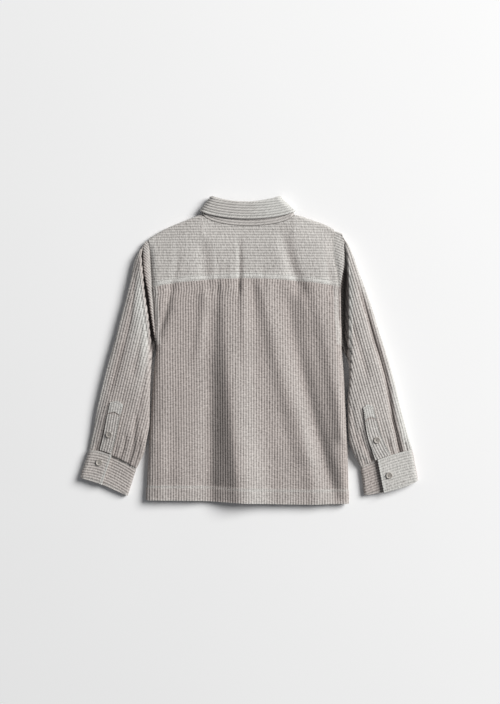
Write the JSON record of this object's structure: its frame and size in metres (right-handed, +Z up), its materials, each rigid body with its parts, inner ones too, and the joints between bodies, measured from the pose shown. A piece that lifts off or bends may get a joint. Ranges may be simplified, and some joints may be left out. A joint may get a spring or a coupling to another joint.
{
  "type": "corduroy overshirt",
  "caption": "Child's wide-wale corduroy overshirt with a yoke, folded collar and buttoned cuffs, laid flat on its front with the back showing.",
  "frame": {"origin": "middle of the shirt's outline seen from above, on the surface it lies on", "axes": "+Z up from the surface, +Y from the hem towards the collar, +X to the right seen from above with the collar away"},
  "size_m": [0.6058, 0.5525, 0.0272],
  "materials": {
    "corduroy": "wide-wale corduroy, soft nap",
    "button": "satin"
  },
  "bodies": {
    "root": {"back": "corduroy", "yoke": "corduroy", "collar_stand": "corduroy", "collar_fall": "corduroy", "front_left": "corduroy", "sleeve_left": "corduroy", "cuff_left": "corduroy", "placket_left": "corduroy", "placket_button_left": "button", "cuff_button_left": "button", "front_right": "corduroy", "sleeve_right": "corduroy", "cuff_right": "corduroy", "placket_right": "corduroy", "placket_button_right": "button", "cuff_button_right": "button", "front_button_1": "button", "front_button_2": "button", "front_button_3": "button", "front_button_4": "button", "front_button_5": "button", "front_button_6": "button"}
  },
  "joints": []
}
